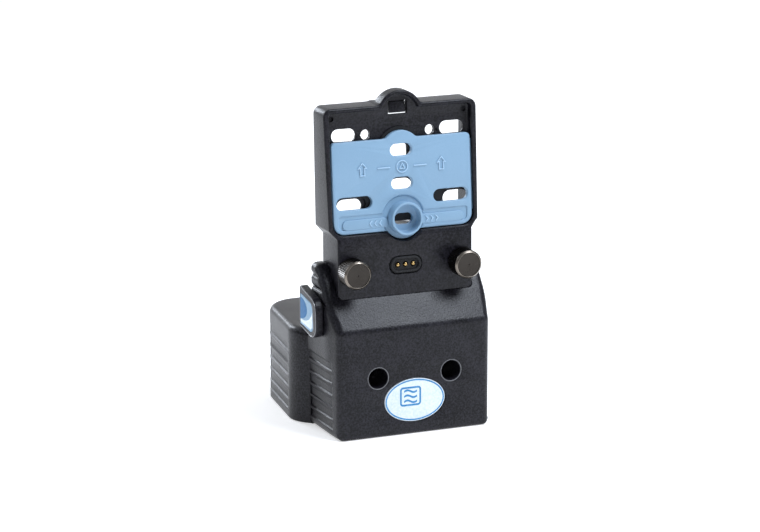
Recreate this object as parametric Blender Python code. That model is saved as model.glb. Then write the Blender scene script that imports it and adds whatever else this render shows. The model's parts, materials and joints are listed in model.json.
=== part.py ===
"""Dock-on sampling pump for a hand-held gas detector, as an assembly of separate pieces.

The detector stands on the rear box, behind the upright docking plate. Two thumb screws and a
sprung latch hold it there, and a sliding shutter on the plate switches the gas path.

Sizes are millimetres in the constants and metres in the scene. Lengths called "depth" or y run
back from the housing's front face; the origin is the middle of the bottom, +Z is up.
"""

import math

import bmesh
import bpy
from mathutils import Vector

MM = 0.001
GAP = 0.3  # clearance between pieces that touch

# Overall sizes
WIDTH = 75.0
DEPTH = 94.0
FRONT_DEPTH = 32.2
WALL = 2.4

# Front housing
SHOULDER_Z = 50.9
DECK_Y = 10.1
DECK_Z = 63.6
BAY_Y = 29.5  # front of the space that the detector fills
CHEEK_INNER = 33.4
FLARE = 2.1  # how far the sides swell out at shoulder height
CHEEK_TOP = 78.6
CHEEK_BACK = 30.3
SIDE_GRIPS = 5
GRIP_PITCH = 5.7
GRIP_LOW = 8.8

# Rear box
REAR_Y = 33.4
REAR_TOP = 45.0
REAR_HALF = 37.9
BULGE_HALF = 44.6
BULGE_Y = 40.0
BULGE_R = 14.0
TAIL_HALF = 37.6

# Docking plate
PLATE_HALF = 33.1
PLATE_Y = 10.4
TONGUE_HALF = 24.5
ANCHOR_X = 19.0
ANCHOR_Z = 57.0
FRAME_HALF_LOW = 36.7
FRAME_HALF_TOP = 37.5
FRAME_Z = 95.5
FRAME_TOP = 150.2
ARCH_R = 11.1
ARCH_TOP = 156.5
ARCH_BACK = 23.8

# The tray leans back: its own frame starts on the rim plane at TRAY_Z
LEAN = math.radians(4.9)
TRAY_Y = 12.0
TRAY_Z = 94.0
TRAY_HALF = 34.8
FLOOR = 4.2
FLOOR_THICK = 1.2

# Shutter (mode slide)
SLIDE_HALF = 34.1
SLIDE_TOP = 135.0
SLIDE_LOW = 93.0
SLIDE_FRONT = 0.8
SLIDE_THICK = 2.2
SLIDE_ARCH_R = 9.8
SLIDE_ARCH_DROP = 6.3  # of the arch's centre, below the top edge
PORT_Z = 98.6
PORT_R = 7.6
PORT_BORE = 6.5
PORT_PROUD = 4.2

# Thumb screws
SCREW_X = 27.2
SCREW_Z = 76.6
KNOB_R = 6.6
KNOB_FRONT = 0.8
SHANK_R = 2.0
SHANK_END = 34.0
CLIP_Y = 28.2

# Contacts
CONTACT_Z = 77.3
CONTACT_PITCH = 3.8
PIN_R = 0.95

# Front screws and badge
FIX_X = 18.0
FIX_Z = 28.1
FIX_R = 4.7
BADGE_Z = 16.2
BADGE_HALF_W = 14.9
BADGE_HALF_H = 10.1

# Latch
LATCH_HALF = 3.95
LATCH_LOW = 146.2
LATCH_HINGE = 151.3

# Inlet on the left side
INLET_Y = 18.5
INLET_Z = 56.5
CAP_OUTER = -43.66
CAP_INNER = -39.95

# Pump drive
MOTOR_Y = 17.5
MOTOR_Z = 12.6
MOTOR_R = 8.0
THROW = 0.8
SHELF_TOP = 29.5


def clear_scene():
    for old in list(bpy.data.objects):
        bpy.data.objects.remove(old, do_unlink=True)


def at(x, y, z):
    """A place given from the front face, as a vector in metres from the origin."""
    return Vector((x, y - DEPTH / 2, z)) * MM


def material(name, colour, roughness=0.5, metallic=0.0):
    made = bpy.data.materials.get(name) or bpy.data.materials.new(name)
    made.use_nodes = True
    shader = made.node_tree.nodes["Principled BSDF"]
    shader.inputs["Base Color"].default_value = (*colour, 1.0)
    shader.inputs["Roughness"].default_value = roughness
    shader.inputs["Metallic"].default_value = metallic
    return made


BLACK = ("black_plastic", (0.035, 0.035, 0.042), 0.5, 0.0)
BLUE = ("blue_plastic", (0.19, 0.45, 0.78), 0.4, 0.0)
RUBBER = ("black_rubber", (0.02, 0.02, 0.022), 0.8, 0.0)
STEEL = ("steel", (0.55, 0.55, 0.57), 0.3, 1.0)
KNOB = ("dark_knob", (0.12, 0.11, 0.11), 0.3, 1.0)
GOLD = ("gold_contact", (0.85, 0.6, 0.2), 0.25, 1.0)
LABEL = ("label", (0.6, 0.78, 0.9), 0.3, 0.0)
BOARD = ("board", (0.03, 0.2, 0.08), 0.4, 0.0)
CHIP = ("chip", (0.03, 0.03, 0.03), 0.4, 0.0)
CELL = ("cell_sleeve", (0.05, 0.25, 0.12), 0.35, 0.0)
PUMP = ("grey_plastic", (0.35, 0.36, 0.38), 0.5, 0.0)
HOSE = ("hose", (0.75, 0.75, 0.72), 0.35, 0.0)
FILTER = ("filter", (0.85, 0.85, 0.83), 0.9, 0.0)


def put(name, mesh, finish=None, parent=None):
    piece = bpy.data.objects.new(name, mesh)
    bpy.context.collection.objects.link(piece)
    if finish:
        mesh.materials.append(material(*finish))
    if parent:
        piece.parent = parent
    return piece


def as_mesh(name, form, smooth=None):
    bmesh.ops.recalc_face_normals(form, faces=form.faces)
    mesh = bpy.data.meshes.new(name)
    form.to_mesh(mesh)
    form.free()
    if smooth:
        mesh.shade_smooth()
        mesh.set_sharp_from_angle(angle=math.radians(smooth))
    return mesh


# ---------------------------------------------------------------- outlines, in mm


def arc(cx, cy, r, start, end, steps):
    """Points on an arc; the angles are degrees."""
    turn = [math.radians(start + (end - start) * i / steps) for i in range(steps + 1)]
    return [(cx + r * math.cos(a), cy + r * math.sin(a)) for a in turn]


def rounded(corners, steps=4):
    """A closed outline from (x, y, radius) corners, each filleted by its radius."""
    outline = []
    count = len(corners)
    for i, (x, y, r) in enumerate(corners):
        here = Vector((x, y))
        if r <= 0:
            outline.append((x, y))
            continue
        back = (Vector(corners[i - 1][:2]) - here).normalized()
        ahead = (Vector(corners[(i + 1) % count][:2]) - here).normalized()
        half = back.angle(ahead) / 2
        middle = here + (back + ahead).normalized() * (r / math.sin(half))
        first = here + back * (r / math.tan(half)) - middle
        last = here + ahead * (r / math.tan(half)) - middle
        for k in range(steps + 1):
            spoke = first.slerp(last, k / steps).normalized()
            outline.append(tuple(middle + spoke * r))
    return outline


def box_outline(x0, y0, x1, y1, r=0.0, steps=4):
    return rounded([(x0, y0, r), (x1, y0, r), (x1, y1, r), (x0, y1, r)], steps)


def stadium(cx, cy, width, height, steps=6):
    r = min(width, height) / 2
    if width >= height:
        reach = width / 2 - r
        right = arc(cx + reach, cy, r, -90, 90, steps)
        left = arc(cx - reach, cy, r, 90, 270, steps)
        return right + left
    reach = height / 2 - r
    return arc(cx, cy + reach, r, 0, 180, steps) + arc(cx, cy - reach, r, 180, 360, steps)


def ring_points(cx, cy, rx, ry, steps):
    turn = [2 * math.pi * i / steps for i in range(steps)]
    return [(cx + rx * math.cos(a), cy + ry * math.sin(a)) for a in turn]


# ---------------------------------------------------------------- solids


def extruded(form, outline, axis, low, high, local=False):
    """Adds a prism to form: the outline's two coordinates are the other axes in X, Y, Z order."""
    places = {
        "X": lambda u, v, w: (w, u, v),
        "Y": lambda u, v, w: (u, w, v),
        "Z": lambda u, v, w: (u, v, w),
    }[axis]
    to_metres = (lambda x, y, z: Vector((x, y, z)) * MM) if local else at
    base = [form.verts.new(to_metres(*places(u, v, low))) for u, v in outline]
    top = [form.verts.new(to_metres(*places(u, v, high))) for u, v in outline]
    form.faces.new(base)
    form.faces.new(list(reversed(top)))
    for i in range(len(base)):
        j = (i + 1) % len(base)
        form.faces.new((base[i], top[i], top[j], base[j]))


def prisms(name, pieces, finish=None, parent=None, smooth=None):
    """One object holding one prism for each (outline, axis, low, high)."""
    form = bmesh.new()
    for outline, axis, low, high in pieces:
        extruded(form, outline, axis, low, high, local=parent is not None)
    return put(name, as_mesh(name, form, smooth), finish, parent)


def turned_mesh(name, outline, steps=24, smooth=40):
    """A closed profile of (radius, along) in mm, spun about +Y."""
    form = bmesh.new()
    rings = []
    for k in range(steps):
        a = 2 * math.pi * k / steps
        spun = []
        for r, along in outline:
            spun.append(Vector((r * math.cos(a), along, r * math.sin(a))) * MM)
        rings.append([form.verts.new(p) for p in spun])
    for k in range(steps):
        this, after = rings[k], rings[(k + 1) % steps]
        for i in range(len(outline)):
            j = (i + 1) % len(outline)
            on_axis = outline[i][0] == 0 and outline[j][0] == 0
            if not on_axis:
                form.faces.new((this[i], this[j], after[j], after[i]))
    bmesh.ops.remove_doubles(form, verts=form.verts, dist=1e-6)
    return as_mesh(name, form, smooth)


def turned(name, outline, centre, along="Y", finish=None, steps=24):
    """A turned piece whose profile starts at centre and runs along the named axis."""
    piece = put(name, turned_mesh(name, outline, steps), finish)
    piece.location = at(*centre)
    piece.rotation_euler = {
        "Y": (0, 0, 0),
        "Z": (math.pi / 2, 0, 0),
        "X": (0, 0, -math.pi / 2),
        "-X": (0, 0, math.pi / 2),
    }[along]
    return piece


def bar(r, start, end):
    """Profile of a plain round bar."""
    return [(0, start), (r, start), (r, end), (0, end)]


def tube(outer, inner, start, end):
    """Profile of a plain tube."""
    return [(inner, start), (outer, start), (outer, end), (inner, end)]


def boolean(target, tool, operation="DIFFERENCE"):
    step = target.modifiers.new(tool.name, "BOOLEAN")
    step.operation = operation
    step.object = tool
    tool.hide_render = True
    tool.display_type = "WIRE"
    return target


def hose(name, points, radius, finish):
    """A flexible tube through the points, read from a smooth curve."""
    path = [Vector(p) for p in points]
    line = bpy.data.curves.new(name, "CURVE")
    line.dimensions = "3D"
    line.bevel_depth = radius * MM
    line.bevel_resolution = 2
    line.use_fill_caps = True
    line.materials.append(material(*finish))
    smooth = []
    for i in range(len(path) - 1):
        before = path[max(i - 1, 0)]
        after = path[min(i + 2, len(path) - 1)]
        for k in range(4):
            smooth.append(catmull(before, path[i], path[i + 1], after, k / 4))
    smooth.append(path[-1])
    spline = line.splines.new("POLY")
    spline.points.add(len(smooth) - 1)
    for point, place in zip(spline.points, smooth):
        point.co = (*at(*place), 1.0)
    piece = bpy.data.objects.new(name, line)
    bpy.context.collection.objects.link(piece)
    return piece


def catmull(a, b, c, d, t):
    first = 2 * b
    second = (c - a) * t
    third = (2 * a - 5 * b + 4 * c - d) * t**2
    fourth = (3 * b - a - 3 * c + d) * t**3
    return (first + second + third + fourth) / 2


# ---------------------------------------------------------------- housing shells


def flare(y, z):
    """How far the side stands out from WIDTH / 2: more towards the back and the shoulder."""
    return (0.5 + (FLARE - 0.5) * min(z / 60, 1)) * min(y / 12, 1)


def swell(mesh, inset=0.0):
    """Moves the side walls of a front-housing solid out to the flared width."""
    for point in mesh.vertices:
        y = point.co.y / MM + DEPTH / 2
        z = point.co.z / MM
        side = math.copysign(1.0, point.co.x)
        if abs(point.co.x) / MM > WIDTH / 2 - inset - 0.5:
            point.co.x += side * flare(max(y, 0), z) * MM
    form = bmesh.new()
    form.from_mesh(mesh)
    bmesh.ops.triangulate(form, faces=form.faces)
    form.to_mesh(mesh)
    form.free()


def side_profile(wall=0.0):
    """The front housing from the side; wall moves it inwards, open at the back."""
    back = FRONT_DEPTH if wall == 0 else FRONT_DEPTH + 5
    bay = BAY_Y - wall
    slope = wall * 0.47
    step = REAR_TOP - wall
    return [
        (wall, wall),
        (wall, 25.0),
        (wall, SHOULDER_Z - slope),
        (DECK_Y + slope, DECK_Z - wall),
        (bay, DECK_Z - wall),
        (bay, step),
        (back, step),
        (back, wall),
        (12.0, wall),
    ]


def cheek_profile():
    """The upright ear each side of the docking plate, from the side."""
    slope = (DECK_Z - SHOULDER_Z) / DECK_Y
    low = DECK_Z - 4
    start = (low - SHOULDER_Z) / slope + 0.6
    top_y = (CHEEK_TOP - SHOULDER_Z) / slope + 0.6
    return rounded(
        [
            (start, low, 0),
            (top_y, CHEEK_TOP, 5.0),
            (CHEEK_BACK, CHEEK_TOP - 1.0, 2.5),
            (CHEEK_BACK, DECK_Z - 8, 0),
            (BAY_Y - 3, DECK_Z - 8, 0),
            (BAY_Y - 3, low, 0),
        ]
    )


def make_front_housing():
    shell = prisms(
        "front_housing", [(side_profile(), "X", -WIDTH / 2, WIDTH / 2)], BLACK, smooth=30
    )
    swell(shell.data)
    outer = WIDTH / 2 + FLARE
    for side, low, high in (("left", -outer, -CHEEK_INNER), ("right", CHEEK_INNER, outer)):
        cheek = prisms(f"cheek_{side}", [(cheek_profile(), "X", low, high)])
        boolean(shell, cheek, "UNION")

    hollow_half = WIDTH / 2 - WALL
    hollow = prisms("front_hollow", [(side_profile(WALL), "X", -hollow_half, hollow_half)])
    swell(hollow.data, WALL)
    boolean(shell, hollow)

    sockets = []
    for x in (-FIX_X, FIX_X):
        sockets.append((ring_points(x, FIX_Z, 6.4, 6.4, 20), "Y", 1.0, 26.0))
    boolean(shell, prisms("socket_walls", sockets), "UNION")
    bores = []
    for x in (-FIX_X, FIX_X):
        bores.append((ring_points(x, FIX_Z, FIX_R, FIX_R, 20), "Y", -1.0, 22.0))
    boolean(shell, prisms("socket_bores", bores))

    badge_seat = ring_points(0, BADGE_Z, BADGE_HALF_W + GAP, BADGE_HALF_H + GAP, 40)
    tongue_half = TONGUE_HALF + GAP
    tongue_slot = box_outline(-tongue_half, 13.6, tongue_half, 24.3)
    inlet_bore = ring_points(INLET_Y, INLET_Z, 4.4, 4.4, 16)
    cuts = [
        (badge_seat, "Y", -1.0, 1.0),
        (tongue_slot, "Z", DECK_Z - WALL - 1, DECK_Z + 1),
        (inlet_bore, "X", -WIDTH / 2 - 4, -WIDTH / 2 + WALL + 3),
    ]
    for x in (-FIX_X, FIX_X):
        cuts.append((ring_points(x, FIX_Z, 1.9, 1.9, 12), "Y", 21.0, 27.0))
    boolean(shell, prisms("front_cuts", cuts))

    grooves = []
    for i in range(SIDE_GRIPS + 1):
        z = GRIP_LOW + GRIP_PITCH * (i - 0.5)
        for side in (-1, 1):
            inner = side * (WIDTH / 2 + flare(20, z) - 0.7)
            outer_x = side * (WIDTH / 2 + 4)
            slot = box_outline(6.2, z - 2.0, 36.0, z + 2.0)
            grooves.append((slot, "X", min(inner, outer_x), max(inner, outer_x)))
    boolean(shell, prisms("front_grips", grooves))
    return shell


def rear_outline(inset=0.0):
    """The rear box from above, a closed outline with rounded corners."""
    front = REAR_Y if inset == 0 else REAR_Y - 5
    start = REAR_HALF - inset
    bulge = BULGE_HALF - inset * 1.1
    tail = TAIL_HALF - inset
    back = DEPTH - inset
    return rounded(
        [
            (-start, front, 0),
            (start, front, 0),
            (start, REAR_Y + inset * 0.4 + 0.2, 0),
            (bulge, BULGE_Y + inset * 0.3, BULGE_R),
            (tail, back, 16.0 - inset),
            (-tail, back, 16.0 - inset),
            (-bulge, BULGE_Y + inset * 0.3, BULGE_R),
            (-start, REAR_Y + inset * 0.4 + 0.2, 0),
        ],
        5,
    )


def make_rear_housing():
    """The rear box: a crowned shell, open at the front, with screw posts inside."""
    form = bmesh.new()
    levels = [(0.0, 0.8), (0.8, 0.0), (REAR_TOP - 3.2, 0.0), (REAR_TOP - 1.0, 0.95)]
    levels.append((REAR_TOP, 3.2))
    rings = []
    for z, inset in levels:
        ring = []
        for x, y in rear_outline():
            scale_x = (BULGE_HALF - inset) / BULGE_HALF
            y_in = REAR_Y + (y - REAR_Y) * (DEPTH - REAR_Y - inset) / (DEPTH - REAR_Y)
            ring.append(form.verts.new(at(x * scale_x, y_in, z)))
        rings.append(ring)
    for low, high in zip(rings, rings[1:]):
        for i in range(len(low)):
            j = (i + 1) % len(low)
            form.faces.new((low[i], low[j], high[j], high[i]))
    form.faces.new(list(reversed(rings[0])))
    form.faces.new(rings[-1])
    shell = put("rear_housing", as_mesh("rear_housing", form, 30), BLACK)

    hollow = [(rear_outline(WALL), "Z", WALL, REAR_TOP - WALL)]
    boolean(shell, prisms("rear_hollow", hollow))

    webs = []
    posts = []
    for x in (-FIX_X, FIX_X):
        webs.append((box_outline(x - 1.0, FIX_Z, x + 1.0, REAR_TOP - 1), "Y", 34.5, 38.9))
        posts.append((ring_points(x, FIX_Z, 3.6, 3.6, 12), "Y", 27.0, 39.0))
    boolean(shell, prisms("post_webs", webs), "UNION")
    boolean(shell, prisms("screw_posts", posts), "UNION")
    pilots = []
    for x in (-FIX_X, FIX_X):
        pilots.append((ring_points(x, FIX_Z, 1.8, 1.8, 12), "Y", 26.0, 37.5))
    boolean(shell, prisms("pilot_holes", pilots))

    grooves = []
    taper = (TAIL_HALF - BULGE_HALF) / (DEPTH - BULGE_Y)
    for i in range(SIDE_GRIPS + 1):
        z = GRIP_LOW + GRIP_PITCH * (i - 0.5) - 0.2
        for side in (-1, 1):
            low_y, high_y = 47.5, 84.0
            x_low = BULGE_HALF + taper * (low_y - BULGE_Y) - 0.9
            x_high = BULGE_HALF + taper * (high_y - BULGE_Y) - 0.9
            wedge = [(side * x_low, low_y), (side * x_high, high_y)]
            wedge += [(side * 48, high_y), (side * 48, low_y)]
            grooves.append((wedge, "Z", z - 2.0, z + 2.0))
    boolean(shell, prisms("rear_grips", grooves))
    return shell


# ---------------------------------------------------------------- docking plate


def plate_outline():
    """The docking plate from the front, with the arch over its latch."""
    arch_z = ARCH_TOP - ARCH_R
    reach = math.degrees(math.asin((FRAME_TOP - arch_z) / ARCH_R))
    right = [
        (TONGUE_HALF, 52.6, 0),
        (TONGUE_HALF, DECK_Z + GAP, 0),
        (PLATE_HALF, DECK_Z + GAP, 0),
        (PLATE_HALF, FRAME_Z - 4.2, 0.8),
        (FRAME_HALF_LOW, FRAME_Z - 0.2, 1.2),
        (FRAME_HALF_TOP, FRAME_TOP, 3.6),
    ]
    left = [(-x, z, r) for x, z, r in reversed(right)]
    outline = rounded(right + left)
    split = max(range(len(outline)), key=lambda i: outline[i][0] - 1e3 * (outline[i][1] < 148))
    while outline[split][0] > 0:
        split += 1
    return outline[:split] + arc(0, arch_z, ARCH_R, reach, 180 - reach, 12) + outline[split:]


def plate_side():
    """The docking plate from the side."""
    top_y = TRAY_Y + math.tan(LEAN) * (ARCH_TOP + 2 - TRAY_Z)
    return [
        (13.9, 51.0),
        (13.9, DECK_Z + GAP - 0.01),
        (PLATE_Y, DECK_Z + GAP - 0.01),
        (PLATE_Y + 0.3, 90.5),
        (TRAY_Y, TRAY_Z),
        (top_y, ARCH_TOP + 2),
        (BAY_Y, ARCH_TOP + 2),
        (BAY_Y, DECK_Z + GAP - 0.01),
        (24.0, DECK_Z + GAP - 0.01),
        (24.0, 51.0),
    ]


def tray_outline(half, low, top, arch_r, low_r=5.6, bulge_r=10.2):
    """An opening that follows the shutter: rounded sides, a port bulge below and an arch above."""
    arch_z = ARCH_TOP - ARCH_R - TRAY_Z
    port = PORT_Z - TRAY_Z
    cut_low = math.degrees(math.asin((low - port) / bulge_r))
    cut_top = math.degrees(math.asin((top - arch_z) / arch_r))
    below = arc(0, port, bulge_r, -180 - cut_low, cut_low, 10)
    right = arc(half - low_r, low + low_r, low_r, -90, 0, 4)
    right += arc(half - 1.5, top - 1.5, 1.5, 0, 90, 2)
    above = arc(0, arch_z, arch_r, cut_top, 180 - cut_top, 10)
    left = [(-x, z) for x, z in reversed(right)]
    return below + right + above + left


def floor_holes():
    """Outlines of the gas holes in the tray floor, in the tray's frame."""
    holes = []
    for x in (-26.5, 26.5):
        holes.append(stadium(x, 137.6 - TRAY_Z, 11.8, 6.2))
    for x in (-15.8, 15.8):
        holes.append(ring_points(x, 137.3 - TRAY_Z, 2.3, 2.3, 12))
    for x in (-25.0, 27.4):
        holes.append(stadium(x, 105.2 - TRAY_Z, 12.4, 7.0))
    holes.append(box_outline(-5.2, 124.6 - TRAY_Z, 4.3, 132.0 - TRAY_Z, 0.8, 2))
    holes.append(stadium(0.6, 112.2 - TRAY_Z, 11.8, 8.0))
    return holes


def make_plate(tray):
    plate = prisms("docking_plate", [(plate_outline(), "Y", 5.0, 40.0)], BLACK, smooth=30)
    side = prisms("plate_side", [(plate_side(), "X", -40.0, 40.0)])
    boolean(plate, side, "INTERSECT")

    recess = [(tray_outline(TRAY_HALF, -1.4, 54.6, 9.6), "Y", -6.0, FLOOR)]
    boolean(plate, prisms("tray_recess", recess, parent=tray))
    runners = []
    for side_x in (-1, 1):
        edges = sorted((side_x * 34.0, side_x * 35.7))
        runners.append((box_outline(edges[0], 3.0, edges[1], 55.0), "Y", 1.65, 3.15))
    boolean(plate, prisms("slide_runners", runners, parent=tray))

    back_tray = tray_outline(34.3, 2.5, 53.8, 9.2, 3.0, 9.0)
    back_low = [(x, max(z, 2.5)) for x, z in back_tray]
    back = [(dedupe(back_low), "Y", FLOOR + FLOOR_THICK, 40.0)]
    boolean(plate, prisms("back_tray", back, parent=tray))

    holes = [(outline, "Y", FLOOR - 1, FLOOR + FLOOR_THICK + 1) for outline in floor_holes()]
    window = box_outline(-4.4, LATCH_LOW - 0.45 - TRAY_Z, 4.4, LATCH_HINGE + GAP - TRAY_Z)
    holes.append((window, "Y", FLOOR - 1, FLOOR + FLOOR_THICK + 1))
    port_hole = stadium(0, PORT_Z - TRAY_Z - 0.4, 9.6, 5.6)
    holes.append((port_hole, "Y", FLOOR - 1, 20.0))
    boolean(plate, prisms("floor_cuts", holes, parent=tray))

    # pockets from behind and holes from the front cross, so each kind is cut on its own
    pockets = [(box_outline(-19.5, DECK_Z + 3, 19.5, 86.2), "Y", 13.4, 40.0)]
    holes = [(stadium(0, CONTACT_Z, 15.4 + 2 * GAP, 7.6 + 2 * GAP), "Y", 5.0, 20.0)]
    for x in (-SCREW_X, SCREW_X):
        pockets.append((ring_points(x, SCREW_Z, 5.0, 5.0, 20), "Y", 23.2, 40.0))
        holes.append((ring_points(x, SCREW_Z, SHANK_R + GAP, SHANK_R + GAP, 16), "Y", 5.0, 25.0))
    for x in (-ANCHOR_X, ANCHOR_X):
        holes.append((ring_points(x, ANCHOR_Z, 1.3, 1.3, 10), "Y", 14.5, 25.0))
    pockets.append((box_outline(-20.0, FRAME_TOP + 0.1, 20.0, ARCH_TOP + 2), "Y", ARCH_BACK, 40.0))
    boolean(plate, prisms("plate_pockets", pockets))
    boolean(plate, prisms("plate_holes", holes))
    return plate


def dedupe(outline):
    """Drops points that repeat or lie on a straight run, after an outline was clipped."""
    kept = []
    count = len(outline)
    for i, point in enumerate(outline):
        before = Vector(outline[i - 1])
        here = Vector(point)
        after = Vector(outline[(i + 1) % count])
        turn = (here - before).cross(after - here)
        if abs(turn) > 1e-6:
            kept.append(point)
    return kept


def slide_outline():
    arch_z = SLIDE_TOP - TRAY_Z - SLIDE_ARCH_DROP
    reach = math.degrees(math.asin(SLIDE_ARCH_DROP / SLIDE_ARCH_R))
    low = SLIDE_LOW - TRAY_Z
    top = SLIDE_TOP - TRAY_Z
    port = PORT_Z - TRAY_Z
    dip = math.degrees(math.asin((low - port) / 9.6))
    below = arc(0, port, 9.6, -180 - dip, dip, 10)
    right = arc(SLIDE_HALF - 5.2, low + 5.2, 5.2, -90, 0, 4)
    right += arc(SLIDE_HALF - 1.8, top - 1.8, 1.8, 0, 90, 3)
    above = arc(0, arch_z, SLIDE_ARCH_R, reach, 180 - reach, 10)
    left = [(-x, z) for x, z in reversed(right)]
    return below + right + above + left


def slide_slots():
    return [
        stadium(-0.1, 129.6 - TRAY_Z, 10.6, 5.6),
        stadium(-0.1, 114.4 - TRAY_Z, 10.4, 5.6),
        stadium(-23.7, 107.0 - TRAY_Z, 17.4, 5.8),
        stadium(23.7, 107.2 - TRAY_Z, 17.0, 5.8),
    ]


def make_slide(tray):
    """The shutter, with its port cup, raised bars and runners."""
    back = SLIDE_FRONT + SLIDE_THICK
    slide = prisms(
        "mode_slide", [(slide_outline(), "Y", SLIDE_FRONT, back)], BLUE, parent=tray, smooth=30
    )
    cup = [(ring_points(0, PORT_Z - TRAY_Z, PORT_R, PORT_R, 28), "Y", -PORT_PROUD, back - 0.1)]
    boolean(slide, prisms("port_cup", cup, parent=tray), "UNION")
    rails = []
    for side in (-1, 1):
        bar_x = side * 18.6
        rails.append((stadium(bar_x, PORT_Z - TRAY_Z - 1.6, 22.0, 4.9), "Y", SLIDE_FRONT - 0.7, 2.0))
    boolean(slide, prisms("raised_bars", rails, parent=tray), "UNION")
    runners = []
    for side in (-1, 1):
        edges = sorted((side * 33.5, side * 35.3))
        runners.append((box_outline(edges[0], 5.5, edges[1], 38.0), "Y", 2.0, 2.8))
    boolean(slide, prisms("slide_tongues", runners, parent=tray), "UNION")
    cuts = [(outline, "Y", -2.0, 6.0) for outline in slide_slots()]
    bore = ring_points(0, PORT_Z - TRAY_Z, PORT_BORE, PORT_BORE, 28)
    boolean(slide, prisms("port_bore", [(bore, "Y", -6.0, SLIDE_FRONT)], parent=tray))
    cuts.append((stadium(0, PORT_Z - TRAY_Z - 0.4, 9.2, 5.2), "Y", -2.0, 6.0))
    boolean(slide, prisms("slide_cuts", cuts, parent=tray))
    return slide


def make_slide_seal(tray):
    """The rubber sheet that the shutter seals against, between it and the tray floor."""
    low = SLIDE_LOW - TRAY_Z + 4
    top = SLIDE_TOP - TRAY_Z + 0.2
    sheet = rounded([(-33, low, 2), (33, low, 2), (33, top, 1.5), (-33, top, 1.5)], 3)
    arch = arc(0, top - 5.6, SLIDE_ARCH_R + 0.6, 30, 150, 8)
    outline = [p for p in sheet if p[1] < low + 3] + [p for p in sheet if p[1] >= low + 3 and p[0] > 0]
    outline += arch
    outline += [p for p in sheet if p[1] >= low + 3 and p[0] < 0]
    front = SLIDE_FRONT + SLIDE_THICK + GAP
    seal = prisms("slide_seal", [(outline, "Y", front, FLOOR - GAP)], RUBBER, parent=tray)
    holes = [
        stadium(-0.4, 128.4 - TRAY_Z, 10.8, 8.2),
        stadium(0.6, 113.2 - TRAY_Z, 12.2, 8.2),
        stadium(-24.4, 106.2 - TRAY_Z, 14.6, 7.4),
        stadium(26.4, 106.2 - TRAY_Z, 12.8, 7.4),
    ]
    boolean(seal, prisms("seal_cuts", [(hole, "Y", 2.0, 6.0) for hole in holes], parent=tray))
    return seal


def make_detector_seal(tray):
    """The gasket on the back of the tray floor that the detector's sensor face presses on."""
    front = FLOOR + FLOOR_THICK + GAP
    outline = box_outline(-33.6, 101.0 - TRAY_Z, 33.6, 142.4 - TRAY_Z, 2.0, 3)
    gasket = prisms("detector_seal", [(outline, "Y", front, front + 1.5)], RUBBER, parent=tray)
    cuts = []
    for hole in floor_holes():
        middle = sum((Vector(p) for p in hole), Vector((0, 0))) / len(hole)
        wider = [tuple(middle + (Vector(p) - middle) * 1.12) for p in hole]
        cuts.append((wider, "Y", front - 1, front + 3))
    boolean(gasket, prisms("gasket_cuts", cuts, parent=tray))
    return gasket


def make_latch(tray):
    """The sprung tongue in the arch; its hook faces the detector."""
    low = LATCH_LOW - TRAY_Z
    top = LATCH_HINGE - TRAY_Z
    back = FLOOR + FLOOR_THICK + GAP
    side = [
        (FLOOR, low),
        (FLOOR, top),
        (back, top),
        (back, top + 1.6),
        (back + 1.1, top + 1.6),
        (back + 1.1, low + 2.6),
        (back + 2.0, low + 1.0),
        (back + 2.0, low),
    ]
    pivot = bpy.data.objects.new("latch_pivot", None)
    bpy.context.collection.objects.link(pivot)
    pivot.parent = tray
    pivot.location = Vector((0, FLOOR + FLOOR_THICK / 2, LATCH_HINGE - TRAY_Z)) * MM
    near = [(y - FLOOR - FLOOR_THICK / 2, z - (LATCH_HINGE - TRAY_Z)) for y, z in side]
    return prisms("top_latch", [(near, "X", -LATCH_HALF, LATCH_HALF)], BLACK, parent=pivot)


# ---------------------------------------------------------------- screws and contacts


def make_thumb_screws():
    knob_back = PLATE_Y - 0.25
    head = [
        (0, KNOB_FRONT + 0.9),
        (0.7, KNOB_FRONT + 0.9),
        (5.0, KNOB_FRONT + 0.5),
        (5.3, KNOB_FRONT),
        (KNOB_R - 0.7, KNOB_FRONT),
        (KNOB_R, KNOB_FRONT + 0.7),
        (KNOB_R, knob_back - 0.6),
        (KNOB_R - 0.6, knob_back),
        (SHANK_R, knob_back),
        (SHANK_R, CLIP_Y - 0.1),
        (SHANK_R - 0.45, CLIP_Y - 0.1),
        (SHANK_R - 0.45, CLIP_Y + 0.9),
        (SHANK_R, CLIP_Y + 0.9),
        (SHANK_R, SHANK_END - 0.7),
        (SHANK_R - 0.7, SHANK_END),
        (0, SHANK_END),
    ]
    for side, x in (("left", -SCREW_X), ("right", SCREW_X)):
        turned(f"{side}_thumb_screw", head, (x, 0, SCREW_Z), finish=KNOB, steps=28)
        clip = tube(4.2, SHANK_R + GAP - 0.05, CLIP_Y, CLIP_Y + 0.8)
        turned(f"{side}_screw_clip", clip, (x, 0, SCREW_Z), finish=STEEL, steps=18)


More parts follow.
